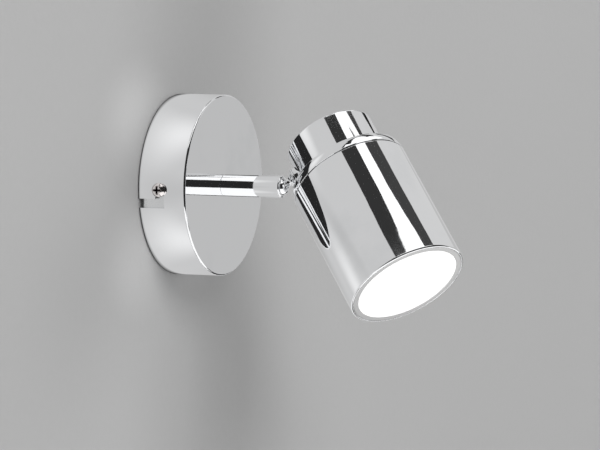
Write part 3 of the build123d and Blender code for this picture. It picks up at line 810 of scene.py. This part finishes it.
@dataclass
class BallStud:
    """Bored ball, thin neck, trumpet flange and threaded shank in one piece."""

    place: HeadPlace
    ball_radius: float = 4.5
    mouth_radius: float = 3.2
    bore_radius: float = 1.5
    neck_radius: float = 2.2
    neck_end: float = 4.8
    flange_radius: float = 5.6
    flange_start: float = 7.7
    flange_thickness: float = 0.8
    shank_radius: float = 3.0
    length: float = 19.0

    def outline(self) -> np.ndarray:
        """Points (radius, distance from the ball's centre) of ball, neck, flare, flange, shank and bore."""
        first = math.asin(self.mouth_radius / self.ball_radius)
        last = math.pi - math.asin(self.neck_radius / self.ball_radius)
        arc = np.linspace(first, last, 40)
        ball = np.column_stack([np.sin(arc), -np.cos(arc)]) * self.ball_radius
        flare = hermite(
            (self.neck_radius, self.neck_end),
            (self.flange_radius, self.flange_start),
            (0, 3.6),
            (4.6, 0.9),
            20,
        )
        face = self.flange_start + self.flange_thickness
        rest = rounded(
            [
                (self.flange_radius - 0.3, self.flange_start - 0.05),
                (self.flange_radius, self.flange_start),
                (self.flange_radius, face),
                (self.shank_radius, face),
                (self.shank_radius, self.length),
                (self.bore_radius, self.length),
                (self.bore_radius, -1.0),
            ],
            [0, 0.15, 0.15, 0, 0.3, 0.2, 0],
            5,
        )[1:]
        return np.vstack([ball, flare[:-1], rest])

    def build(self, chrome: bpy.types.Material) -> None:
        """Makes and dresses the stud."""
        surface = revolve(self.place.stud_axes(), self.outline(), 128)
        dress(surface.piece("ball_stud_polished"), Body.STUD, Slot.CHROME, chrome, "ball_stud")


@dataclass
class Head:
    """Barrel, rear housing, saddle washer, front ring and opal glass."""

    place: HeadPlace
    barrel_radius: float = 30.0
    barrel_wall: float = 1.2
    barrel_length: float = 66.5
    front_round: float = 0.8
    rear_round: float = 0.25
    seam_gap: float = 0.3
    cap_radius: float = 22.8
    cap_wall: float = 1.2
    cap_length: float = 26.2
    cap_floor: float = 1.5
    cap_round: float = 1.0
    band_length: float = 5.5
    band_rear_radius: float = 29.0
    band_round: float = 0.6
    step_wall: float = 1.2
    spigot_gap: float = 0.05
    spigot_wall: float = 1.0
    spigot_length: float = 8.0
    ring_face_width: float = 2.6
    ring_ledge_width: float = 1.95
    ring_length: float = 9.0
    ring_ledge_depth: float = 4.0
    ring_edge: float = 0.2
    front_recess: float = 0.1
    glass_gap: float = 0.05
    glass_thickness: float = 3.5
    glass_edge: float = 0.4
    seal: float = 0.5
    saddle_radius: float = 5.8
    saddle_start: float = 8.55
    saddle_bore: float = 3.05

    @property
    def spigot_radius(self) -> float:
        """Outside of what fits inside the barrel."""
        return self.barrel_radius - self.barrel_wall - self.spigot_gap

    @property
    def ring_bore(self) -> float:
        """Bore of the front ring."""
        return self.spigot_radius - self.ring_face_width

    @property
    def glass_radius(self) -> float:
        """Radius of the opal glass."""
        return self.ring_bore - self.glass_gap

    def sleeve(self) -> Surface:
        """The barrel: a tube's outline with a rolled front lip and a fine rear edge, revolved."""
        inner = self.barrel_radius - self.barrel_wall
        outline = rounded(
            [
                (inner, 30),
                (inner, 0),
                (self.barrel_radius, 0),
                (self.barrel_radius, self.barrel_length),
                (inner, self.barrel_length),
                (inner, 31),
            ],
            [0, 0.1, self.rear_round, self.front_round, 0.25, 0],
            10,
        )
        return revolve(self.place.head_axes(), outline, 256)

    def housing(self) -> Surface:
        """The rear housing: spigot, band, flat step and cap, revolved and closed at the cap's middle."""
        step = self.step_wall - self.band_length
        bore = self.spigot_radius - self.spigot_wall
        inner = self.cap_radius - self.cap_wall
        band = hermite(
            (self.barrel_radius, -self.seam_gap - 0.1),
            (self.band_rear_radius + 0.12, -self.band_length + self.band_round),
            (0, -3.0),
            (-2.2, -3.6),
            14,
        )
        inside = rounded(
            [
                (0, self.cap_floor - self.cap_length),
                (inner, self.cap_floor - self.cap_length),
                (inner, step),
                (bore, step),
                (bore, self.spigot_length),
                (self.spigot_radius, self.spigot_length),
                (self.spigot_radius, -self.seam_gap),
                (self.barrel_radius - 0.1, -self.seam_gap),
            ],
            [0, 0.5, 0.3, 0.3, 0.2, 0.3, 0, 0],
            6,
        )
        outside = rounded(
            [
                (self.band_rear_radius + 0.12, -self.band_length + self.band_round),
                (self.band_rear_radius - 0.05, -self.band_length),
                (self.cap_radius, -self.band_length),
                (self.cap_radius, -self.cap_length),
                (0, -self.cap_length),
            ],
            [0, 0.45, 0.25, self.cap_round, 0],
            8,
        )[1:]
        return revolve(self.place.head_axes(), np.vstack([inside, band, outside]), 256, ring=False)

    def ring(self) -> Surface:
        """The front ring: face, chamfers and the ledge behind the glass, revolved."""
        face = self.barrel_length - self.front_recess
        ledge = face - self.ring_ledge_depth
        rear = face - self.ring_length
        outline = rounded(
            [
                (self.spigot_radius, face - 2),
                (self.spigot_radius, face),
                (self.ring_bore, face),
                (self.ring_bore, ledge),
                (self.ring_bore - self.ring_ledge_width, ledge),
                (self.ring_bore - self.ring_ledge_width, rear),
                (self.spigot_radius, rear),
                (self.spigot_radius, face - 3),
            ],
            [0, self.ring_edge, self.ring_edge, 0.2, 0.2, 0.2, 0.2, 0],
            6,
        )
        return revolve(self.place.head_axes(), outline, 256)

    def glass(self) -> Surface:
        """The opal disc: a flat puck with a softly ground edge, revolved with a pole on each face."""
        rear = self.barrel_length - self.front_recess - self.ring_ledge_depth + self.seal
        front = rear + self.glass_thickness
        outline = rounded(
            [(0, rear), (self.glass_radius, rear), (self.glass_radius, front), (0, front)],
            [0, 0.3, self.glass_edge, 0],
            8,
        )
        return revolve(self.place.head_axes(), outline, 192, ring=False)

    def saddle(self) -> Surface:
        """The saddle washer: a round disc from the flange to the cap.

        A point at radius q and angle p about the stud ends where it meets the cap's cylinder:
        its reach along the stud is the stud offset minus the square root of cap radius ** 2 - (q sin p) ** 2.
        """
        columns, radii = 128, np.array([self.saddle_bore, self.saddle_radius - 0.25, self.saddle_radius])
        p = np.arange(columns) * TURN / columns
        far_radii = radii[[2, 0]][:, None]
        far = self.place.stud_offset - np.sqrt(self.cap_radius**2 - (far_radii * np.sin(p)) ** 2)
        near = np.full((3, columns), self.saddle_start)
        near[2] += 0.25
        heights = np.vstack([near, far])
        profile = radii[[0, 1, 2, 2, 0]]
        axes = self.place.stud_axes()
        points = axes.place(profile[:, None], p[None], heights)
        shape = revolve(axes, np.column_stack([profile, heights[:, 0]]), columns)
        return Surface(points.reshape(-1, 3), shape.quads).outward()

    def build(self, chrome: bpy.types.Material, satin: bpy.types.Material, opal: bpy.types.Material) -> None:
        """Makes and dresses every outer piece of the head."""
        for surface, name, slot, finish, node in (
            (self.sleeve(), "barrel_polished", Slot.CHROME, chrome, "barrel_sleeve"),
            (self.housing(), "rear_cap_polished", Slot.CHROME, chrome, "rear_housing"),
            (self.saddle(), "saddle_polished", Slot.CHROME, chrome, "saddle_washer"),
            (self.ring(), "front_ring_turned", Slot.SATIN, satin, "front_ring"),
            (self.glass(), "opal_disc", Slot.OPAL, opal, "glass_disc"),
        ):
            dress(surface.piece(name), Body.HEAD, slot, finish, node)


@dataclass
class InnerParts:
    """CAD nodes that stay as they are, each given the finish of its real material."""

    groups: tuple[tuple[Plate | Moulding | ClearLens, str], ...] = (
        (
            Plate("bright_zinc", (0.88, 0.89, 0.9), (0.7, 0.7, 0.67), 0.2, 0.18, 0.012, 6e-5, 8e-4, 1e-5),
            "mounting_bracket holder_bracket arm_nut arm_washer stud_nut friction_washer bracket_screws "
            "socket_screws block_screw terminal_screws seat_spring",
        ),
        (
            Plate("turned_brass", (0.76, 0.56, 0.25), (0.5, 0.33, 0.13), 0.22, 0.2, 0.01, 4e-5, 6e-4, 1e-5),
            "terminal_sleeves earth_screw lamp_pins",
        ),
        (
            Moulding("white_moulding", (0.82, 0.82, 0.79), (0.72, 0.72, 0.68), 0.35, 6e-4, 2e-5),
            "terminal_block lamp_body",
        ),
        (
            Moulding("acetal_natural", (0.8, 0.79, 0.74), (0.7, 0.69, 0.63), 0.3, 8e-4, 1e-5),
            "seat_cup pivot_bush",
        ),
        (Moulding("steatite", (0.83, 0.8, 0.72), (0.72, 0.68, 0.58), 0.62, 3e-4, 4e-5, 0.5), "lampholder"),
        (Moulding("grey_silicone", (0.6, 0.6, 0.59), (0.5, 0.5, 0.49), 0.6, 5e-4, 2e-5), "glass_seal"),
        (ClearLens("stippled_lens"), "lamp_lens"),
        (
            Moulding("brown_sleeving", (0.25, 0.11, 0.05), (0.17, 0.07, 0.03), 0.42, 7e-4, 3e-5),
            "live_lead_wall live_lead_head",
        ),
        (
            Moulding("blue_sleeving", (0.05, 0.2, 0.5), (0.03, 0.13, 0.36), 0.42, 7e-4, 3e-5),
            "neutral_lead_wall neutral_lead_head",
        ),
    )

    def build(self, nodes: dict[str, bpy.types.Object]) -> None:
        """Puts each group's finish on its nodes."""
        for finish, names in self.groups:
            material = finish.build()
            for name in names.split():
                nodes[name].data.materials.clear()
                nodes[name].data.materials.append(material)
                log.info("%s keeps its CAD shape in %s", name, finish.name)


# ---------------------------------------------------------------- studio


@dataclass(frozen=True)
class Card:
    """A glowing or black card, seen only in mirror finishes, on a sphere about the object.

    Angles are in degrees: azimuth 0 is straight in front of the wall and -90 is to its left. The card's lower
    and upper edges run from the elevations at the first azimuth to those at the last.
    """

    name: str
    azimuth: tuple[float, float]
    first_elevation: tuple[float, float]
    last_elevation: tuple[float, float]
    distance: float
    light: float


@dataclass(frozen=True)
class Streak:
    """A card placed by the law of reflection so that it shows as a band along the head.

    Each entry of rows is (station ahead of the seam in mm, backward tilt of the surface, first angle, last
    angle), the angles in degrees and the last two about the barrel from the line nearest to the camera.
    """

    name: str
    rows: tuple[tuple[float, float, float, float], ...]
    distance: float
    light: float


@dataclass(frozen=True)
class Patch:
    """A soft spot of lighter or darker tone on the wall, in metres."""

    centre: tuple[float, float, float]
    stretch: tuple[float, float, float]
    reach: float
    strength: float


@dataclass(frozen=True)
class Lamp:
    """A square soft lamp aimed at the object: its place and side in metres, and its power in watts."""

    name: str
    spot: tuple[float, float, float]
    size: float
    power: float


@dataclass
class Studio:
    """Wall, floor, lamps, mirror cards and camera."""

    place: HeadPlace
    camera_spot: tuple[float, float, float] = (-1.3214, -0.6530, 0.0965)
    look: tuple[float, float, float] = (0.91121, 0.40421, -0.07945)
    lens: float = 175.1
    sensor: float = 36.0
    wall_grey: float = 0.53
    floor_grey: float = 0.68
    wall_mirror: float = 0.61
    room_light: float = 0.42
    room_mirror: float = 0.66
    room_camera: float = 0.8
    floor_height: float = -0.9
    wall_face: float = 0.0004
    wall_top: float = 3.0
    floor_reach: float = 5.0
    half_width: float = 4.0
    contact_shadow_ring: tuple[float, float] = (0.0455, 0.0490)
    white_below: tuple[float, float] = (-0.22, -0.16)
    dark_below: tuple[float, float] = (-0.49, -0.44)
    dark_right_of: tuple[float, float] = (-1.15, -0.98)
    # painted light: two glow spots beside the canopy's left side stand for light thrown off its chrome;
    # painted shade: a tall darker band centred just right of the canopy's middle
    wall_light_and_shade_patches: tuple[Patch, ...] = (
        Patch((-0.044, 0.0, 0.034), (1.0, 1.0, 0.8), 0.046, 0.15),
        Patch((-0.044, 0.0, -0.034), (1.0, 1.0, 0.8), 0.046, 0.15),
        Patch((0.036, 0.0, 0.0), (1.0, 1.0, 90.0), 0.12, -0.1),
    )
    # painted light: glow spots on the wall beside the canopy's left side, as mirror finishes see them; the
    # two negative patches lower the level
    mirror_patches: tuple[Patch, ...] = (
        Patch((-0.052, 0.0, 0.066), (0.75, 1.0, 1.1), 0.058, 0.27),
        Patch((-0.052, 0.0, -0.066), (0.75, 1.0, 1.1), 0.058, 0.27),
        Patch((0.075, 0.0, 0.0), (1.0, 1.0, 1.6), 0.085, -0.2),
        Patch((-0.085, 0.0, -0.004), (1.4, 1.0, 0.7), 0.045, -0.06),
    )
    lamps: tuple[Lamp, ...] = (
        Lamp("lamp_upper_left", (-1.2, -1.5, 1.4), 1.2, 26.0),
        Lamp("lamp_right", (1.6, -1.6, 0.5), 1.2, 10.0),
        Lamp("lamp_behind", (0.7, 1.8, 0.9), 1.2, 22.0),
    )
    cards: tuple[Card, ...] = (
        Card("card_camera_dark", (-98, 28), (-22, 46), (-22, 46), 0.86, 0.022),
        Card("card_above_camera", (-80, 30), (46, 74), (46, 74), 0.87, 1.15),
        Card("card_above_right", (30, 60), (59, 74), (41, 60), 0.88, 1.15),
        Card("card_below_camera", (-76, 66), (-78, -22), (-78, -22), 0.87, 1.15),
        Card("card_right_grey", (28, 86), (-21, 13), (-21, 13), 0.86, 0.53),
        Card("card_right_dark_above", (54, 64), (21, 41), (21, 41), 0.25, 0.02),
        Card("card_right_dark_below", (50, 72), (-40, -21), (-40, -21), 0.85, 0.02),
    )
    streaks: tuple[Streak, ...] = (
        Streak(
            "streak_dark_near",
            ((-32, 0, 5.5, 21), (0, 0, 3, 18), (30, 0, 2, 17.5), (50, 0, 0.5, 16), (72, 0, 1, 11)),
            0.8,
            0.035,
        ),
        Streak(
            "streak_white",
            ((-32, 0, 20.5, 28.5), (0, 0, 17.5, 27), (30, 0, 17, 27), (50, 0, 15, 29), (72, 0, 10, 31)),
            0.79,
            1.25,
        ),
        Streak(
            "streak_dark_far",
            ((-32, 0, 28, 43.5), (0, 0, 26.5, 40), (30, 0, 26.5, 39.5), (72, 0, 30, 40)),
            0.8,
            0.055,
        ),
        Streak(
            "streak_white_band",
            ((-0.7, 2.6, 14, 35), (-1.7, 8, 16, 33), (-2.4, 13, 18.5, 31)),
            0.83,
            1.2,
        ),
        Streak(
            "streak_white_band_top",
            ((-2.3, 12, 18, 31.5), (-2.8, 14, 19, 30), (-3.6, 18, 22, 27)),
            0.58,
            1.2,
        ),
        Streak(
            "streak_dark_band",
            ((-0.7, 2.6, -2, 42), (-1.7, 8, 1, 41), (-2.4, 13, 4.5, 39.5)),
            0.85,
            0.03,
        ),
        Streak(
            "streak_dark_band_top",
            ((-2.3, 12, 4, 40), (-2.8, 14, 5, 39), (-3.8, 20, 9, 36), (-4.4, 25, 16, 30)),
            0.6,
            0.03,
        ),
    )

    def sheet(self, name: str, points: np.ndarray) -> bpy.types.Object:
        """Open sheet over a grid of points in metres."""
        rows, columns = points.shape[:2]
        index = np.arange(rows * columns).reshape(rows, columns)
        quads = np.stack([index[:-1, :-1], index[:-1, 1:], index[1:, 1:], index[1:, :-1]], -1).reshape(-1, 4)
        mesh = bpy.data.meshes.new(name)
        mesh.from_pydata(points.reshape(-1, 3).tolist(), [], quads.tolist())
        mesh.shade_smooth()
        thing = bpy.data.objects.new(name, mesh)
        bpy.context.scene.collection.objects.link(thing)
        return thing

    def card_material(self, name: str, light: float) -> bpy.types.Material:
        """Plain emission for a mirror card."""
        material, graph = empty_material(name)
        shine = graph.add("ShaderNodeEmission", {}, {"Color": rgba((light,) * 3), "Strength": 1.0})
        graph.add("ShaderNodeOutputMaterial", {}, {"Surface": shine.outputs[0]})
        material.cycles.emission_sampling = "NONE"
        return material

    def mirror_only(self, thing: bpy.types.Object, light: float) -> None:
        """Dresses a card and hides it from everything but glossy rays."""
        thing.data.materials.append(self.card_material(thing.name, light))
        thing.visible_camera = thing.visible_diffuse = False
        thing.visible_transmission = thing.visible_shadow = False

    def hang_cards(self) -> None:
        """Cards as patches of a sphere: distance * (sin az cos el, -cos az cos el, sin el)."""
        along, up = np.meshgrid(np.linspace(0, 1, 24), np.linspace(0, 1, 16), indexing="ij")
        for card in self.cards:
            edges = zip(card.first_elevation, card.last_elevation)
            low, high = ((1 - along) * first + along * last for first, last in edges)
            az = np.radians(card.azimuth[0] + along * (card.azimuth[1] - card.azimuth[0]))
            el = np.radians(low + up * (high - low))
            direction = np.stack([np.sin(az) * np.cos(el), -np.cos(az) * np.cos(el), np.sin(el)], -1)
            self.mirror_only(self.sheet(card.name, card.distance * direction), card.light)

    def hang_streaks(self, barrel_radius: float) -> None:
        """Cards by the law of reflection.

        At a point of the head with normal n, tilted back from the barrel's own by the row's tilt, the ray v
        from the camera leaves along v - 2 (v . n) n; the card's point lies at the card's distance along it.

        Args:
            barrel_radius: the barrel's outside radius in mm.
        """
        head = self.place.head_axes()
        view = np.array(self.look)
        eye = np.array(self.camera_spot) / MM
        near = -view + (view @ head.w) * head.w
        near /= np.linalg.norm(near)
        side = np.cross(near, head.w)
        for streak in self.streaks:
            rows = np.array(streak.rows)
            entry = np.linspace(0, len(rows) - 1, 12 * len(rows))
            station, tilt, first, last = (np.interp(entry, np.arange(len(rows)), column) for column in rows.T)
            part = np.linspace(0, 1, 16)
            angle = np.radians(first[:, None] * (1 - part) + last[:, None] * part)
            across = np.cos(angle)[..., None] * near + np.sin(angle)[..., None] * side
            spot = head.origin + station[:, None, None] * head.w + barrel_radius * across
            lean = np.radians(tilt)[:, None, None]
            normal = np.cos(lean) * across - np.sin(lean) * head.w
            ray = spot - eye
            ray /= np.linalg.norm(ray, axis=-1, keepdims=True)
            leaving = ray - 2 * np.einsum("ijk,ijk->ij", normal, ray)[..., None] * normal
            self.mirror_only(self.sheet(streak.name, spot * MM + streak.distance * leaving), streak.light)

    def patched(self, graph: Graph, spot: object, patches: tuple[Patch, ...], level: object) -> Value:
        """A level with soft patches added.

        A patch's share is its strength at its centre and 0 from where the distance, divided along each axis
        by its stretch, is its reach.

        Args:
            graph: the graph to add to.
            spot: the socket of the place on the sheet.
            patches: the patches.
            level: the even level, a number or a Value.

        Returns:
            The level with all patches.
        """
        for patch in patches:
            away = graph.vector("DIVIDE", graph.vector("SUBTRACT", spot, patch.centre), patch.stretch)
            level = graph.length(away).step(0.0, patch.reach, 1.0, 0.0) * patch.strength + level
        return level

    def mirror_level(self, graph: Graph, spot: bpy.types.NodeSocket) -> Value:
        """How bright the wall and floor look in mirror finishes.

        The level is even, with two patches of painted light above and below the canopy's left side, two
        darker patches, a painted contact shadow where the canopy meets the wall, a white stretch further down
        and a dark one below it.

        Args:
            graph: the graph to add to.
            spot: the socket of the place on the sheet.

        Returns:
            The level.
        """
        level = self.patched(graph, spot, self.mirror_patches, self.wall_mirror)
        # painted contact shadow: a dark ring on the wall just outside the canopy's rim
        level = level * graph.length(spot).step(*self.contact_shadow_ring, 0.08, 1.0)
        parts = graph.add("ShaderNodeSeparateXYZ", {}, {0: spot})
        across, up = graph.value(parts, "X"), graph.value(parts, "Z")
        white = up.step(*self.white_below, 1.0, 0.0)
        dark = up.step(*self.dark_below, 1.0, 0.0) * across.step(*self.dark_right_of)
        level = level * (1 - white) + white * 1.1
        return level * (1 - dark) + dark * 0.025

    def paint(self, name: str, grey: float) -> bpy.types.Material:
        """Matt paint of the wall or floor with patches of painted light and shade, see-through from behind
        and to shadow rays.

        Args:
            name: the material's name.
            grey: the paint's grey.

        Returns:
            The material.
        """
        material, graph = empty_material(name)
        spot = graph.place()
        roller = graph.noise(spot, 260.0, 3.0, 0.6)
        drift = graph.noise(spot, 1.6, 2.0, 0.5)
        even = drift * 0.05 + roller * 0.02 + (grey - 0.035)
        # painted light and shade: the glow spots and the dark band are added into the wall's tone
        tone = self.patched(graph, spot, self.wall_light_and_shade_patches, even)
        colour = graph.add("ShaderNodeCombineColor", {}, {0: tone, 1: tone, 2: tone})
        skin = {"Base Color": colour.outputs[0], "Roughness": 0.8, "Normal": graph.bump(roller, 0.0001)}
        paint = graph.add("ShaderNodeBsdfPrincipled", {}, skin)
        path = graph.add("ShaderNodeLightPath")
        level = self.mirror_level(graph, spot)
        shown = graph.add("ShaderNodeEmission", {}, {"Color": WHITE, "Strength": level})
        mirror = graph.value(path, "Is Glossy Ray")
        seen = graph.add("ShaderNodeMixShader", {}, {0: mirror, 1: paint.outputs[0], 2: shown.outputs[0]})
        behind = graph.value(graph.add("ShaderNodeNewGeometry"), "Backfacing")
        clear = behind.math("MAXIMUM", graph.value(path, "Is Shadow Ray"))
        empty = graph.add("ShaderNodeBsdfTransparent")
        mixed = graph.add("ShaderNodeMixShader", {}, {0: clear, 1: seen.outputs[0], 2: empty.outputs[0]})
        graph.add("ShaderNodeOutputMaterial", {}, {"Surface": mixed.outputs[0]})
        material.cycles.emission_sampling = "NONE"
        return material

    def raise_set(self) -> None:
        """The wall behind the canopy and a floor well below the head."""
        width = np.linspace(-self.half_width, self.half_width, 9)
        across, up = np.meshgrid(width, np.linspace(self.floor_height, self.wall_top, 7), indexing="ij")
        wall = self.sheet("wall_sheet", np.stack([across, np.full_like(across, self.wall_face), up], -1))
        wall.data.materials.append(self.paint("wall_paint", self.wall_grey))
        across, out = np.meshgrid(width, np.linspace(self.wall_face, -self.floor_reach, 9), indexing="ij")
        low = np.full_like(across, self.floor_height)
        floor = self.sheet("floor_sheet", np.stack([across, out, low], -1))
        floor.data.materials.append(self.paint("floor_paint", self.floor_grey))
        for sheet, facing in ((wall, Vector((0, -1, 0))), (floor, Vector((0, 0, 1)))):
            if sheet.data.polygons[0].normal.dot(facing) < 0:
                sheet.data.flip_normals()

    def hang_lamp(self, lamp: Lamp) -> None:
        """Adds a lamp that is left out of mirror finishes."""
        data = bpy.data.lights.new(lamp.name, "AREA")
        data.shape, data.size, data.energy = "SQUARE", lamp.size, lamp.power
        thing = bpy.data.objects.new(lamp.name, data)
        thing.location = lamp.spot
        thing.rotation_euler = (Vector((0, -0.06, 0)) - Vector(lamp.spot)).to_track_quat("-Z", "Y").to_euler()
        thing.visible_glossy = False
        bpy.context.scene.collection.objects.link(thing)

    def light_room(self) -> None:
        """World light: pale to the camera, even to matt surfaces and a soft grey room in mirror finishes."""
        world = bpy.data.worlds.new("studio_room")
        bpy.context.scene.world = world
        graph = Graph(world)
        path = graph.add("ShaderNodeLightPath")
        camera = graph.value(path, "Is Camera Ray")
        mirror = graph.value(path, "Is Glossy Ray").math("MAXIMUM", graph.value(path, "Is Transmission Ray"))
        level = camera * (self.room_camera - self.room_light) + self.room_light
        level = level + mirror * (self.room_mirror - self.room_light)
        back = graph.add("ShaderNodeBackground", {}, {"Color": WHITE, "Strength": level})
        graph.add("ShaderNodeOutputWorld", {}, {"Surface": back.outputs[0]})

    def stand_camera(self) -> None:
        """Camera at the photograph's place and angle, level, with a long lens."""
        data = bpy.data.cameras.new("camera")
        data.lens, data.sensor_width = self.lens, self.sensor
        camera = bpy.data.objects.new("camera", data)
        look = Vector(self.look).normalized()
        right = look.cross(Vector((0, 0, 1))).normalized()
        up = right.cross(look)
        turn = Matrix((right, up, -look)).transposed().to_4x4()
        camera.matrix_world = Matrix.Translation(self.camera_spot) @ turn
        bpy.context.scene.collection.objects.link(camera)
        bpy.context.scene.camera = camera

    def build(self, barrel_radius: float) -> None:
        """Sets up everything around the object."""
        self.raise_set()
        self.hang_cards()
        self.hang_streaks(barrel_radius)
        for lamp in self.lamps:
            self.hang_lamp(lamp)
        self.light_room()
        self.stand_camera()
        bpy.context.scene.view_settings.view_transform = "Standard"


def corners(bounds: object) -> list:
    """Bounds as plain lists of numbers."""
    return [[float(number) for number in corner] for corner in bounds]


def main() -> None:
    """Loads the frame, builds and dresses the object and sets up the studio."""
    logging.basicConfig(level=logging.INFO, format="%(name)s: %(message)s")
    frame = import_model()
    place = HeadPlace()
    head_axes = place.head_axes()
    axis_point = tuple(float(x) for x in head_axes.origin * MM)
    axis = tuple(float(x) for x in head_axes.w)
    pale, grey = (0.93, 0.935, 0.945), (0.86, 0.87, 0.88)
    chrome = Plate("polished_chrome", pale, grey, 0.025, 0.03, 0.011, 3e-5, 0.0015, 1e-6)
    warm, dull = (0.88, 0.84, 0.83), (0.66, 0.6, 0.58)
    screw = ScrewPlate("plated_screw", warm, dull, 0.12, 0.1, 0.004, 3e-5, 5e-4, 4e-6)
    head = Head(place)
    chrome_plate = chrome.build()
    satin = RingSatin("ring_satin", axis_point, axis, (0.74, 0.74, 0.74)).build()
    opal = OpalGlow("opal_glow", axis_point, axis, head.glass_radius * MM, 0.98, 0.72).build()
    Canopy().build(chrome_plate, screw.build())
    Arm().build(chrome_plate)
    BallStud(place).build(chrome_plate)
    head.build(chrome_plate, satin, opal)
    InnerParts().build(frame["nodes"])
    Studio(place).build(head.barrel_radius)


if __name__ == "__main__":
    main()
